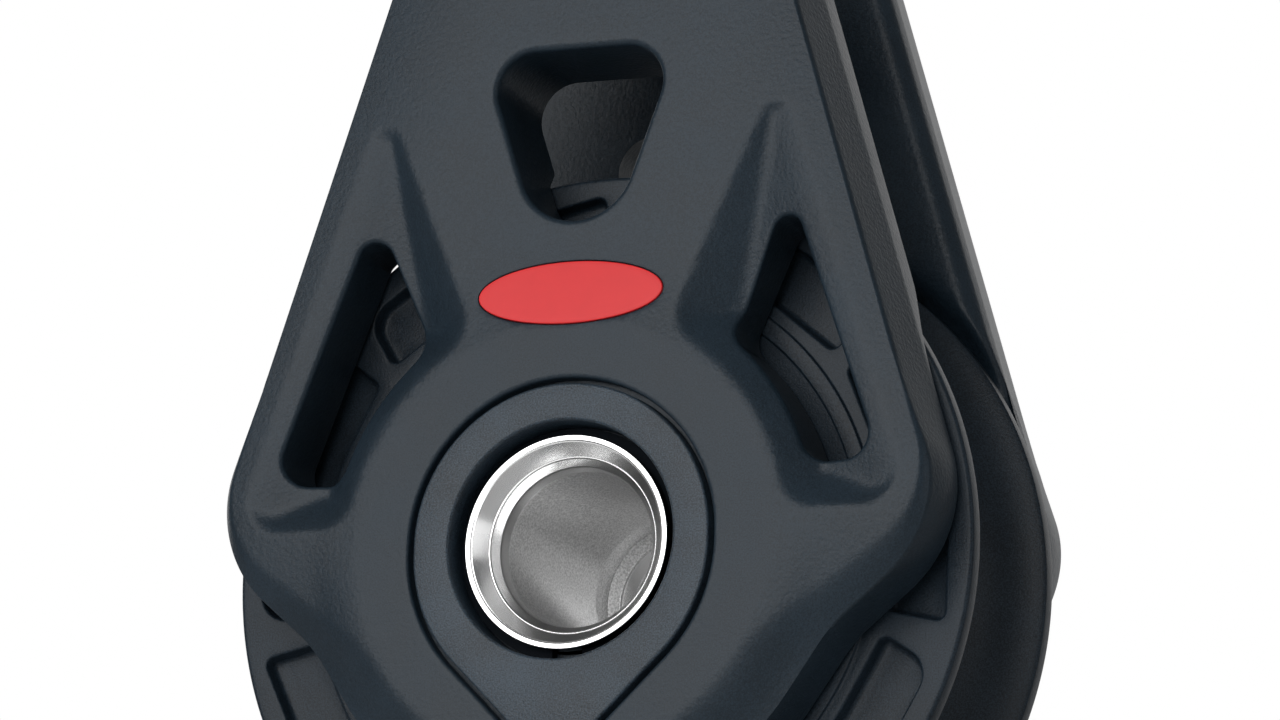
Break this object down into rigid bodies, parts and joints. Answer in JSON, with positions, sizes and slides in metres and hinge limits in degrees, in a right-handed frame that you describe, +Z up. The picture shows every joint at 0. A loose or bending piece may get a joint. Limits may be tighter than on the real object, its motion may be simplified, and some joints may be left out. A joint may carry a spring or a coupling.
{
  "type": "sailing block",
  "caption": "Single swivel sailing block: moulded cheeks with windows, a ball and roller bearing sheave, an open steel hub and a shackle head.",
  "frame": {"origin": "middle of the hub's axis, halfway between the cheeks", "axes": "+Y along the hub's axis from the front cheek to the rear one, +Z up towards the shackle, +X to the right of somebody facing the front cheek"},
  "size_m": [0.06, 0.0348, 0.1316],
  "materials": {
    "cheek_plastic": "moulded glass-filled nylon, fine leather grain",
    "cover_plastic": "moulded nylon, coarse spark-eroded grain",
    "sheave_plastic": "moulded acetal, sparkling grain with smooth rims",
    "hub_steel": "stainless steel, polished lip and satin bore",
    "clip_black": "blackened spring steel",
    "badge_red": "bare red field with a dark edge",
    "race_steel": "ground stainless steel",
    "bearing_plastic": "natural acetal",
    "head_steel": "satin stainless steel",
    "fastener_steel": "stainless steel",
    "washer_plastic": "black acetal",
    "shackle_steel": "polished stainless steel"
  },
  "bodies": {
    "shackle": {"shackle_bow": "shackle_steel"},
    "pin": {"shackle_pin": "shackle_steel"},
    "block": {"front_cheek": "cheek_plastic", "rear_cheek": "cheek_plastic", "hub_tube": "hub_steel", "bearing_inner_race": "race_steel", "front_hub_cover": "cover_plastic", "rear_hub_cover": "cover_plastic", "front_retaining_clip": "clip_black", "rear_retaining_clip": "clip_black", "badge_plate": "badge_red", "head_block": "head_steel", "head_bolts": "fastener_steel", "head_nuts": "fastener_steel", "swivel_post": "shackle_steel", "lower_swivel_washer": "washer_plastic", "upper_swivel_washer": "fastener_steel"},
    "sheave": {"sheave": "sheave_plastic", "bearing_outer_race": "race_steel", "front_end_ring": "bearing_plastic", "rear_end_ring": "bearing_plastic"},
    "roller_set": {"hub_rollers": "bearing_plastic"},
    "front_ball_set": {"front_side_balls": "bearing_plastic", "front_ball_cage": "washer_plastic"},
    "rear_ball_set": {"rear_side_balls": "bearing_plastic", "rear_ball_cage": "washer_plastic"}
  },
  "joints": [
    {"name": "swivel", "type": "hinge", "parent": "shackle", "child": "block", "pos_m": [0, 0, 0], "axis": [0, 0, 1], "continuous": true},
    {"name": "pin_slide", "type": "slide", "parent": "shackle", "child": "pin", "axis": [1, 0, 0], "range_m": [0, 0.022]},
    {"name": "sheave_spin", "type": "hinge", "parent": "block", "child": "sheave", "pos_m": [0, 0, 0], "axis": [0, 1, 0], "continuous": true},
    {"name": "roller_set_spin", "type": "hinge", "parent": "block", "child": "roller_set", "pos_m": [0, 0, 0], "axis": [0, 1, 0], "continuous": true},
    {"name": "front_ball_spin", "type": "hinge", "parent": "block", "child": "front_ball_set", "pos_m": [0, 0, 0], "axis": [0, 1, 0], "continuous": true},
    {"name": "rear_ball_spin", "type": "hinge", "parent": "block", "child": "rear_ball_set", "pos_m": [0, 0, 0], "axis": [0, 1, 0], "continuous": true}
  ],
  "couplings": [
    {"joint": "roller_set_spin", "follows": "sheave_spin", "ratio": 0.57595},
    {"joint": "front_ball_spin", "follows": "sheave_spin", "ratio": 0.5},
    {"joint": "rear_ball_spin", "follows": "sheave_spin", "ratio": 0.5}
  ]
}
